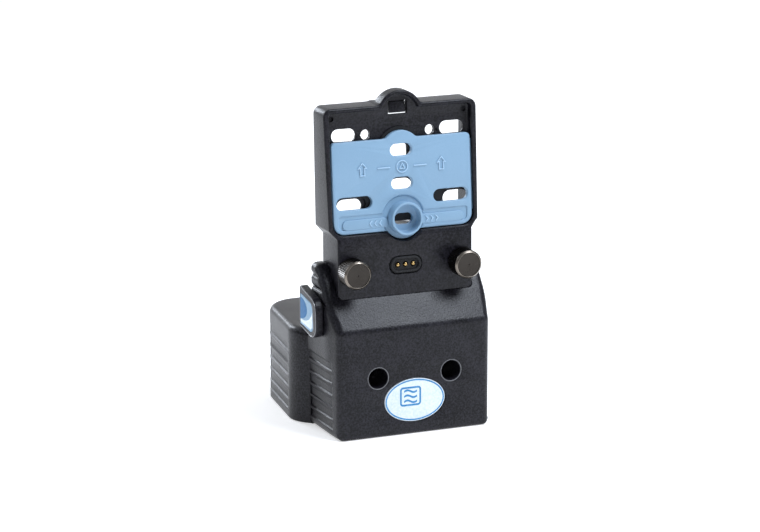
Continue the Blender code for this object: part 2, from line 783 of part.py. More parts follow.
def make_contacts():
    block = prisms(
        "contact_block", [(stadium(0, CONTACT_Z, 15.4, 7.6), "Y", PLATE_Y - 0.4, 16.0)], RUBBER
    )
    cuts = [(stadium(0, CONTACT_Z, 13.4, 6.0), "Y", 9.0, 11.3)]
    places = [-CONTACT_PITCH, 0.0, CONTACT_PITCH]
    for x in places:
        cuts.append((ring_points(x, CONTACT_Z, PIN_R + GAP, PIN_R + GAP, 12), "Y", 9.0, 20.0))
    boolean(block, prisms("contact_cuts", cuts))

    tip = 10.3
    dome = arc(0, tip + PIN_R, PIN_R, -90, 0, 3)
    plunger = dome + [(PIN_R, 17.0), (PIN_R + 0.5, 17.0), (PIN_R + 0.5, 17.6), (0, 17.6)]
    for name, x in zip(("left", "centre", "right"), places):
        turned(f"contact_pin_{name}", plunger, (x, 0, CONTACT_Z), finish=GOLD, steps=12)
    prisms(
        "contact_board",
        [(box_outline(-13, CONTACT_Z - 7, 13, CONTACT_Z + 7, 1.0, 2), "Y", 19.2, 20.4)],
        BOARD,
    )


def make_fasteners():
    screw = [
        (0, 20.4),
        (1.2, 20.4),
        (1.6, 19.0),
        (3.4, 19.0),
        (3.4, 20.9),
        (1.5, 20.9),
        (1.5, 36.0),
        (0, 37.0),
    ]
    short = [(0, 14.8), (1.0, 14.8), (1.0, 24.3), (2.3, 24.3), (2.3, 25.7), (0, 25.7)]
    for side, sign in (("left", -1), ("right", 1)):
        turned(f"housing_screw_{side}", screw, (sign * FIX_X, 0, FIX_Z), finish=STEEL, steps=16)
        turned(f"plate_screw_{side}", short, (sign * ANCHOR_X, 0, ANCHOR_Z), finish=STEEL, steps=12)


# ---------------------------------------------------------------- inlet


def cap_outline(inset=0.0):
    """The inlet head from the side: rounded to the front, straight at the back."""
    return rounded(
        [
            (31.5 - inset, 48.2 + inset, 0.8),
            (31.5 - inset, 67.3 - inset, 0.8),
            (12.2 + inset, 63.2 - inset, 6.0),
            (11.4 + inset, 44.4 + inset, 6.0),
        ]
    )


def make_inlet():
    """The socket in the housing's left side, its filter, and the plug-in head that covers it."""
    side_x = -WIDTH / 2 - FLARE
    socket = [
        (1.2, -6.0),
        (4.0, -6.0),
        (4.0, 0.2),
        (5.9, 0.2),
        (5.9, 1.2),
        (3.3, 1.2),
        (3.3, -3.0),
        (1.2, -3.0),
    ]
    turned("inlet_socket", socket, (side_x, INLET_Y, INLET_Z), "-X", PUMP, 20)
    turned("inlet_filter", bar(3.0, -2.7, -1.7), (side_x, INLET_Y, INLET_Z), "-X", FILTER, 18)

    cap = prisms("inlet_cap", [(cap_outline(), "X", CAP_OUTER, CAP_INNER)], BLACK, smooth=30)
    room = turned("collar_room", bar(6.2, -1.0, 1.5), (side_x, INLET_Y, INLET_Z), "-X", steps=24)
    boolean(cap, room)
    stem = [(0, -1.3), (2.3, -1.3), (2.3, 1.9), (0, 1.9)]
    boolean(cap, turned("cap_stem", stem, (side_x, INLET_Y, INLET_Z), "-X", steps=20), "UNION")
    seat = [(seat_outline(), "X", CAP_OUTER - 1, CAP_OUTER + 0.9)]
    boolean(cap, prisms("label_seat", seat))
    mouth = [(ring_points(CAP_OUTER + 1.75, INLET_Z, 0.5, 0.5, 8), "Y", 24.0, 33.0)]
    boolean(cap, prisms("inlet_mouth", mouth))
    prisms("inlet_label", [(label_outline(), "X", CAP_OUTER + 0.1, CAP_OUTER + 0.6)], LABEL)
    ring = [(2.55, -0.2), (3.05, -0.2), (3.05, 0.4), (2.55, 0.4)]
    turned("inlet_seal", ring, (side_x, INLET_Y, INLET_Z), "-X", RUBBER, 18)


def seat_outline():
    """The recess in the inlet head, open at the head's straight back edge."""
    return rounded(
        [
            (33.0, 49.1, 0),
            (33.0, 63.95, 0),
            (16.3, 61.6, 3.8),
            (14.7, 47.3, 3.8),
        ],
        3,
    )


def label_outline():
    return rounded(
        [
            (31.2, 49.4, 0.3),
            (31.2, 63.5, 0.3),
            (16.6, 61.3, 3.5),
            (15.0, 47.6, 3.5),
        ],
        3,
    )


# ---------------------------------------------------------------- pump and electronics


def make_pump():
    motor = [
        (0, -33.0),
        (2.2, -33.0),
        (2.2, -32.2),
        (MOTOR_R, -32.2),
        (MOTOR_R, -11.0),
        (2.6, -11.0),
        (2.6, -9.6),
        (1.2, -9.6),
        (1.2, -14.0),
        (0, -14.0),
    ]
    turned("pump_motor", motor, (0, MOTOR_Y, MOTOR_Z), "X", STEEL, 24)
    turned("motor_sleeve", tube(MOTOR_R + 1.2, MOTOR_R + GAP, -30.0, -22.0),
           (0, MOTOR_Y, MOTOR_Z), "X", RUBBER, 24)
    turned("motor_shaft", bar(0.9, -13.6, 6.0), (0, MOTOR_Y, MOTOR_Z), "X", STEEL, 12)

    cam = prisms("eccentric", [(ring_points(MOTOR_Y, MOTOR_Z + THROW, 3.4, 3.4, 20), "X", -2.0, 2.0)],
                 PUMP)
    bore = [(ring_points(MOTOR_Y, MOTOR_Z, 1.2, 1.2, 12), "X", -3.0, 3.0)]
    boolean(cam, prisms("eccentric_bore", bore))

    eye = 3.4 + 2 * THROW + 2 * GAP
    rod = prisms("pump_rod", [(ring_points(MOTOR_Y, MOTOR_Z, eye + 1.4, eye + 1.4, 24), "X", -1.6, 1.6)],
                 PUMP)
    stem = [(box_outline(MOTOR_Y - 1.6, MOTOR_Z + eye + 0.5, MOTOR_Y + 1.6, SHELF_TOP), "X", -1.5, 1.5)]
    boolean(rod, prisms("rod_stem", stem), "UNION")
    boolean(rod, prisms("rod_eye", [(ring_points(MOTOR_Y, MOTOR_Z, eye, eye, 24), "X", -3, 3)]))

    bracket = prisms("pump_bracket", [
        (box_outline(7.5, 3.4, 27.5, SHELF_TOP - 0.1, 1.5, 2), "X", -8.8, -7.2),
    ], STEEL)
    shelf = [(box_outline(7.6, 28.0, 27.4, SHELF_TOP), "X", -8.0, 9.0)]
    boolean(bracket, prisms("bracket_shelf", shelf), "UNION")
    bracket_cuts = [(ring_points(MOTOR_Y, MOTOR_Z, 3.0, 3.0, 14), "X", -10.0, -6.0)]
    boolean(bracket, prisms("bracket_bore", bracket_cuts))
    rod_way = [(ring_points(0, MOTOR_Y, 3.0, 3.0, 14), "Z", 27.0, 30.0)]
    boolean(bracket, prisms("rod_way", rod_way))

    disc = [(0, 1.0), (2.2, 1.0), (5.0, 0.4), (7.6, 0.4), (7.6, 1.4), (4.8, 1.4), (2.2, 2.0), (0, 2.0)]
    turned("pump_diaphragm", disc, (0, MOTOR_Y, SHELF_TOP), "Z", RUBBER, 20)
    turned("valve_plate", tube(7.6, 1.0, 2.6, 3.8), (0, MOTOR_Y, SHELF_TOP), "Z", PUMP, 20)
    head = prisms("pump_head", [
        (box_outline(-9.0, MOTOR_Y - 9.0, 9.0, MOTOR_Y + 9.0, 2.0, 3), "Z", 33.7, 42.0),
    ], PUMP, smooth=30)
    barbs = [(ring_points(x, MOTOR_Y, 1.4, 1.4, 12), "Z", 41.0, 46.0) for x in (-4.5, 4.5)]
    boolean(head, prisms("head_barbs", barbs), "UNION")
    ways = [(ring_points(x, MOTOR_Y, 0.7, 0.7, 8), "Z", 32.0, 47.0) for x in (-4.5, 4.5)]
    boolean(head, prisms("head_ways", ways))


def make_hoses():
    hose(
        "inlet_hose",
        [(-33.2, INLET_Y, INLET_Z), (-29.5, INLET_Y, 55.5), (-26, 18.0, 50.5), (-17, MOTOR_Y, 47.6),
         (-9.5, MOTOR_Y, 49.0), (-5.2, MOTOR_Y, 48.8), (-4.5, MOTOR_Y, 46.4)],
        1.7,
        HOSE,
    )
    hose(
        "outlet_hose",
        [(4.5, MOTOR_Y, 46.4), (5.2, 18.0, 48.8), (8.0, 19.5, 48.6), (11.0, 22.5, 44.5),
         (12.5, 27.0, 38.5), (12.5, 36.0, 34.6), (12.5, 42.5, 33.6), (12.5, 47.6, 33.6)],
        1.7,
        HOSE,
    )


def make_electronics():
    cells = [50.0, 65.5, 81.0]
    for number, y in enumerate(cells, 1):
        can = [(0, -25.0), (7.1, -25.0), (7.1, 23.2), (2.6, 23.2), (2.6, 24.4), (0, 24.4)]
        turned(f"battery_cell_{number}", can, (0, y, 10.4), "X", CELL, 18)
    holder = prisms("battery_holder", [(box_outline(-27.6, 41.6, 27.6, 89.3), "Z", 2.7, 3.0)], PUMP)
    for name, low, high in (("left_cheek", -27.6, -25.3), ("right_cheek", 24.8, 27.6)):
        end = prisms(f"holder_{name}", [(box_outline(41.6, 2.8, 89.3, 12.0), "X", low, high)])
        boolean(holder, end, "UNION")
    prisms("control_board", [(box_outline(-26, 44, 26, 84, 1.5, 2), "Z", 27.0, 28.6)], BOARD)
    for name, x, y, w, d, h in (
        ("processor_chip", -16, 54, 10, 10, 1.6),
        ("driver_chip", -2, 72, 8, 6, 1.4),
        ("power_coil", -17, 72, 6, 9, 2.4),
        ("board_connector", 18, 74, 9, 7, 5.0),
    ):
        chip = box_outline(x - w / 2, y - d / 2, x + w / 2, y + d / 2)
        prisms(name, [(chip, "Z", 28.9, 28.9 + h)], CHIP)
    prisms("flow_sensor", [(box_outline(8.0, 48.0, 17.0, 58.0, 0.8, 2), "Z", 28.9, 38.2)], PUMP)


def make_joint_gasket():
    """The seal in the seam between the two shells."""
    outer = box_outline(-37.0, 0.9, 37.0, 44.0, 2.0, 3)
    gasket = prisms("housing_gasket", [(outer, "Y", FRONT_DEPTH + GAP, REAR_Y - GAP)], RUBBER)
    inner = box_outline(-35.4, 2.5, 35.4, 42.4, 1.5, 3)
    boolean(gasket, prisms("gasket_hole", [(inner, "Y", 30.0, 36.0)]))


def make_badge():
    oval = ring_points(0, BADGE_Z, BADGE_HALF_W, BADGE_HALF_H, 40)
    prisms("front_badge", [(oval, "Y", 0.05, 0.7)], LABEL)


def main():
    clear_scene()
    tray = bpy.data.objects.new("tray_frame", None)
    bpy.context.collection.objects.link(tray)
    tray.location = at(0, TRAY_Y, TRAY_Z)
    tray.rotation_euler = (-LEAN, 0, 0)

    make_front_housing()
    make_rear_housing()
    make_joint_gasket()
    make_plate(tray)
    make_slide(tray)
    make_slide_seal(tray)
    make_detector_seal(tray)
    make_latch(tray)
    make_thumb_screws()
    make_contacts()
    make_fasteners()
    make_inlet()
    make_badge()
    make_pump()
    make_hoses()
    make_electronics()


main()
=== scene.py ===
"""Looks of the docking pump for a hand-held gas detector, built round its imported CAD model.

The helpers take millimetres, with y measured back from the housing's front face, as at() says.
"""

import json
import math

import bmesh
import bpy
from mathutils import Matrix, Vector


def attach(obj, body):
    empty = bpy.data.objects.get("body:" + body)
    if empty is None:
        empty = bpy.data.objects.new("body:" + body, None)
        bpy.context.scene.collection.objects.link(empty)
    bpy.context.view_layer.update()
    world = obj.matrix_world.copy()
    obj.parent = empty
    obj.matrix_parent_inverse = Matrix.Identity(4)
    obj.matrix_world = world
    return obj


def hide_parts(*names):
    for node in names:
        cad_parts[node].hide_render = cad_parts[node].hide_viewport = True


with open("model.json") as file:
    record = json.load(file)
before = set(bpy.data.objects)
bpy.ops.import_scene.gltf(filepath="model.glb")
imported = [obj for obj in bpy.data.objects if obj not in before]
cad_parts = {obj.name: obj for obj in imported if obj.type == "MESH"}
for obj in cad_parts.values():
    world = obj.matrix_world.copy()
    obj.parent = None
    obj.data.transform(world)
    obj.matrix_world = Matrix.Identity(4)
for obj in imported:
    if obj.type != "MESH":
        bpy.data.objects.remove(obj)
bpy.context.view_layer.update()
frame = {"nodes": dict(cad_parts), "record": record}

MM = 0.001
DEPTH = 94.0
LEAN = math.radians(4.9)
TRAY_Y, TRAY_Z = 12.0, 94.0
SLOPE = 12.7 / 10.1  # of the shoulder and the cheeks, rise over depth
SHOULDER_Z = 50.9  # where the front face turns back into the shoulder
ARCH_R, ARCH_TOP = 11.1, 156.5
FLOOR = 4.2  # of the tray, behind its rim
PORT_Z = 4.6  # of the shutter's port, above the tray's foot
WALL = 2.4  # of both housings

# where the case screws, the thumb screws and the contact pins stand
SCREWS_X, SCREW_Z = (-18, 18), 28.1
KNOBS_X, KNOB_Z = {"left": -27.2, "right": 27.2}, 76.6
PINS_X, PIN_Z = {"left": -3.8, "centre": 0.0, "right": 3.8}, 77.3

BADGE_Z = 16.2
INLET_Y, INLET_Z = 18.5, 56.5
CAP_BACK, HEAD_OUT = -39.6, -43.66  # inner end and outer face of the inlet head, in x
SMOOTH = 35  # degrees between faces, above which an edge is drawn sharp


def at(x, y, z):
    """A place given from the front face, as a vector in metres from the origin."""
    return Vector((x, y - DEPTH / 2, z)) * MM


def in_tray(x, y, z):
    """A place given in the leaning tray's frame: y is the depth, z the height above its foot."""
    back = y * math.cos(LEAN) + z * math.sin(LEAN)
    up = z * math.cos(LEAN) - y * math.sin(LEAN)
    return at(x, TRAY_Y + back, TRAY_Z + up)


# ---------------------------------------------------------------- outlines, in mm


def arc(cx, cy, r, start, end, steps):
    """Points on an arc; the angles are degrees."""
    turn = [math.radians(start + (end - start) * i / steps) for i in range(steps + 1)]
    return [(cx + r * math.cos(a), cy + r * math.sin(a)) for a in turn]


def rounded(corners, steps=6):
    """A closed outline from (x, y, radius) corners, each filleted by its radius."""
    outline = []
    count = len(corners)
    for i, (x, y, r) in enumerate(corners):
        here = Vector((x, y))
        if r <= 0:
            outline.append((x, y))
            continue
        back = (Vector(corners[i - 1][:2]) - here).normalized()
        ahead = (Vector(corners[(i + 1) % count][:2]) - here).normalized()
        half = back.angle(ahead) / 2
        middle = here + (back + ahead).normalized() * (r / math.sin(half))
        first = here + back * (r / math.tan(half)) - middle
        last = here + ahead * (r / math.tan(half)) - middle
        for k in range(steps + 1):
            spoke = first.slerp(last, k / steps).normalized()
            outline.append(tuple(middle + spoke * r))
    return outline


def box_outline(x0, y0, x1, y1, r=0.0, steps=6):
    return rounded([(x0, y0, r), (x1, y0, r), (x1, y1, r), (x0, y1, r)], steps)


def stadium(cx, cy, width, height, steps=12):
    r = min(width, height) / 2
    if width >= height:
        reach = width / 2 - r
        return arc(cx + reach, cy, r, -90, 90, steps) + arc(cx - reach, cy, r, 90, 270, steps)
    reach = height / 2 - r
    return arc(cx, cy + reach, r, 0, 180, steps) + arc(cx, cy - reach, r, 180, 360, steps)


def circle(cx, cy, r, steps=40):
    turn = [2 * math.pi * i / steps for i in range(steps)]
    return [(cx + r * math.cos(a), cy + r * math.sin(a)) for a in turn]


def oval(cx, cy, rx, ry, steps=72):
    turn = [2 * math.pi * i / steps for i in range(steps)]
    return [(cx + rx * math.cos(a), cy + ry * math.sin(a)) for a in turn]


def grown(outline, amount):
    """The outline moved outwards by amount; it runs anticlockwise or is turned to do so."""
    area = sum(a[0] * b[1] - b[0] * a[1] for a, b in zip(outline, outline[1:] + outline[:1]))
    sign = 1 if area > 0 else -1
    count = len(outline)
    moved = []
    for i, point in enumerate(outline):
        here = Vector(point)
        into, out = here - Vector(outline[i - 1]), Vector(outline[(i + 1) % count]) - here
        into, out = into.normalized(), out.normalized()
        normal = Vector((into.y + out.y, -into.x - out.x))
        if normal.length < 1e-6:
            normal = Vector((into.y, -into.x))
        normal.normalize()
        stretch = max(normal.dot(Vector((into.y, -into.x))), 0.5)
        moved.append(tuple(here + normal * (sign * amount / stretch)))
    return moved


def dense(outline, step):
    """The outline with more points, so that none is further than step from the next."""
    points = []
    for a, b in zip(outline, outline[1:] + outline[:1]):
        a, b = Vector(a), Vector(b)
        count = max(1, math.ceil((b - a).length / step))
        points += [tuple(a.lerp(b, k / count)) for k in range(count)]
    return points


def ease(t):
    t = min(max(t, 0.0), 1.0)
    return t * t * (3 - 2 * t)


def levels(low, high, r_low=0.0, r_high=0.0, steps=4):
    """(depth, offset) pairs of a wall between two depths whose edges are rounded inwards."""
    turn = [math.pi / 2 * k / steps for k in range(steps + 1)]
    start = [(low + r_low * (1 - math.cos(a)), -r_low * (1 - math.sin(a))) for a in turn]
    end = [(high - r_high * (1 - math.sin(a)), -r_high * (1 - math.cos(a))) for a in turn]
    return (start if r_low else [(low, 0.0)]) + (end if r_high else [(high, 0.0)])


def flared(low, high, r=0.3, reach=1.0, r_high=0.0, steps=3):
    """(depth, offset) pairs of a cutter whose mouth at depth low is rounded outwards by r."""
    turn = [math.pi / 2 * k / steps for k in range(steps + 1)]
    pairs = [(low - reach, r)]
    pairs += [(low + r * (1 - math.cos(a)), r * (1 - math.sin(a))) for a in turn]
    return pairs + levels(low, high, 0, r_high)[1:]


# ---------------------------------------------------------------- meshes


def on_front(u, v, w):
    """Outline in x, z; depth in y."""
    return at(u, w, v)


def on_side(u, v, w):
    """Outline in y, z; depth in x."""
    return at(w, u, v)


def on_slope(u, v, w):
    """Outline in x, z; depth in y, from a plane that leans back like the shoulder."""
    return at(u, (v - SHOULDER_Z) / SLOPE + w, v)


def on_tray(u, v, w):
    """Outline in the tray's x, z; depth into the tray."""
    return in_tray(u, w, v)


def across_tray(u, v, w):
    """Outline in the tray's depth and height; depth in x."""
    return in_tray(w, u, v)


def loft(form, outline, pairs, place):
    """Adds a closed solid to form: the outline at each (depth, offset), joined into walls."""
    rings = []
    for depth, offset in pairs:
        ring = grown(outline, offset) if offset else outline
        rings.append([form.verts.new(place(u, v, depth)) for u, v in ring])
    for low, high in zip(rings, rings[1:]):
        for i in range(len(low)):
            j = (i + 1) % len(low)
            form.faces.new((low[i], low[j], high[j], high[i]))
    form.faces.new(list(reversed(rings[0])))
    form.faces.new(rings[-1])


def finished(name, form, smooth=SMOOTH):
    bmesh.ops.recalc_face_normals(form, faces=form.faces)
    mesh = bpy.data.meshes.new(name)
    form.to_mesh(mesh)
    form.free()
    shade(mesh, smooth)
    return mesh


def shade(mesh, smooth):
    mesh.shade_smooth()
    mesh.set_sharp_from_angle(angle=math.radians(smooth))


def put(name, mesh):
    piece = bpy.data.objects.new(name, mesh)
    bpy.context.collection.objects.link(piece)
    return piece


def lofts(name, parts, place=on_front):
    """One object holding a loft for each (outline, pairs)."""
    form = bmesh.new()
    for outline, pairs in parts:
        loft(form, outline, pairs, place)
    return put(name, finished(name, form))


def turned(name, profile, centre, steps, toward="Y", smooth=SMOOTH):
    """A closed profile of (radius, along) spun about an axis through centre."""
    form = bmesh.new()
    rings = []
    for k in range(steps):
        a = 2 * math.pi * k / steps
        ring = []
        for r, along in profile:
            u, v = r * math.cos(a), r * math.sin(a)
            spot = {"Y": (u, along, v), "-X": (-along, u, v)}[toward]
            ring.append(form.verts.new(at(*(c + s for c, s in zip(centre, spot)))))
        rings.append(ring)
    for k in range(steps):
        this, after = rings[k], rings[(k + 1) % steps]
        for i in range(len(profile)):
            j = (i + 1) % len(profile)
            if profile[i][0] or profile[j][0]:
                form.faces.new((this[i], this[j], after[j], after[i]))
    bmesh.ops.remove_doubles(form, verts=form.verts, dist=1e-7)
    return put(name, finished(name, form, smooth))


def combine(target, tool, operation="DIFFERENCE"):
    """Applies a boolean to target at once and removes the tool."""
    step = target.modifiers.new("cut", "BOOLEAN")
    step.operation = operation
    step.solver = "EXACT"
    step.object = tool
    flatten(target)
    bpy.data.objects.remove(tool, do_unlink=True)
    return target


def flatten(target):
    """Applies target's modifiers to its mesh."""
    shown = target.evaluated_get(bpy.context.evaluated_depsgraph_get())
    made = bpy.data.meshes.new_from_object(shown)
    target.modifiers.clear()
    old, target.data = target.data, made
    bpy.data.meshes.remove(old)
    shade(made, SMOOTH)


def bisect(form, axis, values, reach=0.0):
    """Adds cuts square to the axis (0 x, 1 y, 2 z, in metres) to faces outside |x| = reach."""
    normal = [0, 0, 0]
    normal[axis] = 1
    for value in values:
        near = []
        for face in form.faces:
            along = [v.co[axis] for v in face.verts]
            if min(along) < value < max(along) and min(abs(v.co.x) for v in face.verts) >= reach:
                near.append(face)
        edges = {e for f in near for e in f.edges}
        spots = {v for f in near for v in f.verts}
        if near:
            spot = Vector(normal) * value
            geom = near + list(edges) + list(spots)
            bmesh.ops.bisect_plane(form, geom=geom, plane_co=spot, plane_no=normal, dist=1e-7)


def span(low, high, step):
    count = round((high - low) / step)
    return [low + (high - low) * k / count for k in range(count + 1)]


# ---------------------------------------------------------------- front housing


def grip(z, low, pitch=5.7, count=5):
    """1 in the grooves of the side grips and 0 on their ribs, at height z."""
    above, below = 0.5, 1.3
    first, last = low - pitch * 0.85, low + pitch * (count - 0.15)
    if not first < z < last:
        return 0.0
    nearest = min(max(round((z - low) / pitch), 0), count - 1)
    off = z - (low + pitch * nearest)
    groove = ease((off - 0.3) / above) if off > 0 else ease((-off - 0.4) / below)
    return groove * ease((z - first) / 1.0) * ease((last - z) / 1.0)


def notch(z, centre, half):
    """1 at the centre of a notch, down to 0 at half its height from there."""
    return 1 - ease(abs(z - centre) / half)


def shape_side(form):
    """Swells the sides of the front housing, and presses the grips into them."""
    for point in form.verts:
        y, z = point.co.y / MM + DEPTH / 2, point.co.z / MM
        flare = (0.5 + 1.6 * ease(z / 60)) * ease(y / 12)
        point.co.x *= 1 + flare / 37.5
        if abs(point.co.x) / MM < 35.5:
            continue
        press = 0.8 * grip(z, 8.8) * ease((y - 6.2) / 1.2)
        start = 2.2 + max(z - SHOULDER_Z, 0) / SLOPE
        waves = sum(notch(z, centre, 1.7) for centre in (61.6, 67.4, 73.0))
        press += 0.95 * waves * ease((y - start) / 1.6)
        point.co.x -= math.copysign(press * MM, point.co.x)


def front_hollow():
    """Hollow of the front housing from the side, a wall inside its outer faces."""
    rise = WALL * 0.47
    return [
        (WALL, WALL),
        (WALL, SHOULDER_Z - rise),
        (10.1 + rise, 63.6 - WALL),
        (29.5 - WALL, 63.6 - WALL),
        (29.5 - WALL, 45.0 - WALL),
        (38.0, 45.0 - WALL),
        (38.0, WALL),
    ]


def make_front():
    form = bmesh.new()
    corners = [
        (37.0, 0.0, 0),
        (0.0, 0.0, 1.8),
        (0.0, SHOULDER_Z, 4.5),
        (22.03, 78.6, 5.0),
        (29.9, 78.2, 2.5),
        (29.5, 45.0, 0),
        (37.0, 45.0, 0),
    ]
    loft(form, rounded(corners, 8), levels(-37.5, 37.5, 3.2, 3.2, 6), on_side)
    reach = 34.2 * MM
    rows = span(3.4, 37.0, 0.28) + [42, 48, 54] + span(59.2, 76.2, 0.4)
    bisect(form, 2, [z * MM for z in rows], reach)
    columns = [4.4, 6.0, 6.4, 6.8, 7.2, 7.6, 9, 11, 13, 15, 17, 19, 21, 23, 25, 27, 32.2]
    bisect(form, 1, [(y - DEPTH / 2) * MM for y in columns], reach)
    shape_side(form)
    body = put("front_shell", finished("front_shell", form))

    behind = [(box_outline(-60, 33.0, 60, 60), [(-20, 0), (100, 0)])]
    combine(body, lofts("behind", behind, at))
    half = [(33.4, 63.6, 2.3), (33.4, 77.7, 0), (34.4, 78.7, 0), (34.4, 90, 0)]
    between = rounded(half + [(-x, z, r) for x, z, r in reversed(half)], 8)
    combine(body, lofts("between", [(between, flared(0, 60, 0.3, 4))], on_slope))

    hollow = lofts("hollow", [(front_hollow(), [(-35.3, 0), (35.3, 0)])], on_side)
    combine(body, hollow)
    posts = [(circle(x, SCREW_Z, 6.4), [(1.0, 0), (26.0, 0)]) for x in SCREWS_X]
    combine(body, lofts("posts", posts), "UNION")
    bores = [(circle(x, SCREW_Z, 4.75, 72), flared(0, 22.0, 0.4)) for x in SCREWS_X]
    combine(body, lofts("bores", bores))
    bores = [(circle(x, SCREW_Z, 1.9, 24), [(21.0, 0), (27.0, 0)]) for x in SCREWS_X]
    bores.append((oval(0, BADGE_Z, 15.2, 10.4), flared(0, 1.0, 0.3)))
    bores += [(circle(x, SCREW_Z, 5.35, 72), flared(0, 0.35, 0.1)) for x in SCREWS_X]
    combine(body, lofts("bores", bores))
    slot = [(box_outline(-24.8, 13.6, 24.8, 24.3, 0.8, 3), [(60.0, 0), (66.0, 0)])]
    combine(body, lofts("slot", slot, at))
    inlet = [(circle(INLET_Y, INLET_Z, 4.4), [(-46.0, 0), (-32.0, 0)])]
    combine(body, lofts("inlet", inlet, on_side))
    return body


# ---------------------------------------------------------------- rear box


def rear_outline(inset=0.0):
    """Outline of the rear box from above, inset inside its outer faces."""
    front, start = 28.4, 37.9 - inset
    half = [
        (start, front, 0),
        (start, 33.6 + inset * 0.4, 0),
        (44.57 - inset * 1.1, 40.0 + inset * 0.3, 14.0),
        (37.6 - inset, DEPTH - inset, 16.0 - inset),
    ]
    return rounded([(-start, front, 0)] + half + [(-x, y, r) for x, y, r in half[:0:-1]], 10)


def make_rear():
    form = bmesh.new()
    front_y = 33.4
    rows = [(z, 0.0) for z in span(3.2, 37.0, 0.28)]
    crown = levels(0.0, 45.0, 0.9, 3.4, 6)
    pairs = [p for p in crown if p[0] < 3] + rows + [p for p in crown if p[0] > 38]
    loft(form, dense(rear_outline(), 1.4), pairs, at)
    for point in form.verts:
        y, z = point.co.y / MM + DEPTH / 2, point.co.z / MM
        if y < front_y + 0.02:
            continue
        window = ease((y - 46.6) / 2.2) * ease((85.4 - y) / 2.2)
        press = 0.85 * grip(z, 8.6) * window
        if abs(point.co.x) / MM > 34:
            point.co.x -= math.copysign(press * MM, point.co.x)
    shell = put("rear_shell", finished("rear_shell", form))
    ahead = [(box_outline(-60, 10, 60, front_y), [(-20, 0), (100, 0)])]
    combine(shell, lofts("ahead", ahead, at))
    combine(shell, lofts("hollow", [(rear_outline(WALL), [(WALL, 0), (45.0 - WALL, 0)])], at))
    webs = [(box_outline(x - 1, SCREW_Z, x + 1, 44.0), [(34.5, 0), (38.9, 0)]) for x in SCREWS_X]
    combine(shell, lofts("webs", webs), "UNION")
    posts = [(circle(x, SCREW_Z, 3.6, 24), [(27.0, 0), (39.0, 0)]) for x in SCREWS_X]
    combine(shell, lofts("posts", posts), "UNION")
    bores = [(circle(x, SCREW_Z, 1.8, 20), [(26.0, 0), (37.5, 0)]) for x in SCREWS_X]
    combine(shell, lofts("bores", bores))
    return shell


# ---------------------------------------------------------------- docking plate


def curve(a, control, b, steps):
    """Points of a quadratic curve from a to b."""
    a, control, b = Vector(a), Vector(control), Vector(b)
    spots = [k / steps for k in range(steps + 1)]
    return [tuple(a * (1 - t) ** 2 + control * 2 * t * (1 - t) + b * t * t) for t in spots]


def plate_outline():
    arch_z, top = ARCH_TOP - ARCH_R, 150.2
    join = math.degrees(math.asin((top - arch_z) / ARCH_R))
    arch = arc(0, arch_z, ARCH_R, join + 9, 90, 14)
    corner = (ARCH_R * math.cos(math.radians(join)), top)
    blend = curve((corner[0] + 1.9, top), corner, arch[0], 5)
    right = rounded(
        [
            (0, 62.9, 0),
            (33.1, 62.9, 3.0),
            (33.1, 91.3, 0.8),
            (36.7, 95.3, 1.2),
            (37.5, top, 3.6),
            (0, top, 0),
        ]
    )[1:-1]
    right += blend + arch[1:-1]
    return right + [(0, ARCH_TOP)] + [(-x, z) for x, z in reversed(right)]


def plate_front(z):
    """How far behind the housing's face the docking plate's front lies, at height z."""
    if z > TRAY_Z:
        return TRAY_Y + math.tan(LEAN) * (z - TRAY_Z)
    if z > 90.5:
        return 10.7 + (TRAY_Y - 10.7) * (z - 90.5) / (TRAY_Z - 90.5)
    return 10.4 + 0.3 * max(z - 63.9, 0) / 26.6


def tray_outline(half, low, top, arch_r, low_r=5.6, bulge_r=10.2):
    """An opening that follows the shutter: rounded sides, a bulge below and an arch above."""
    arch_z = ARCH_TOP - ARCH_R - TRAY_Z
    cut_low = math.degrees(math.asin((low - PORT_Z) / bulge_r))
    cut_top = math.degrees(math.asin((top - arch_z) / arch_r))
    below = arc(0, PORT_Z, bulge_r, -180 - cut_low, cut_low, 28)
    right = arc(half - low_r, low + low_r, low_r, -90, 0, 10)
    right += arc(half - 1.8, top - 1.8, 1.8, 0, 90, 6)
    above = arc(0, arch_z, arch_r, cut_top, 180 - cut_top, 24)
    return below + right + above + [(-x, z) for x, z in reversed(right)]


def floor_holes():
    """Outlines of the gas holes in the tray floor, in the tray's frame."""
    holes = [stadium(x, 43.6, 11.8, 6.2) for x in (-26.5, 26.5)]
    holes += [circle(x, 43.3, 2.3, 28) for x in (-15.8, 15.8)]
    holes += [stadium(x, 11.2, 12.4, 7.0) for x in (-25.0, 27.4)]
    holes.append(box_outline(-5.2, 30.6, 4.3, 38.0, 0.8, 3))
    holes.append(stadium(0.6, 18.2, 11.8, 8.0))
    return holes


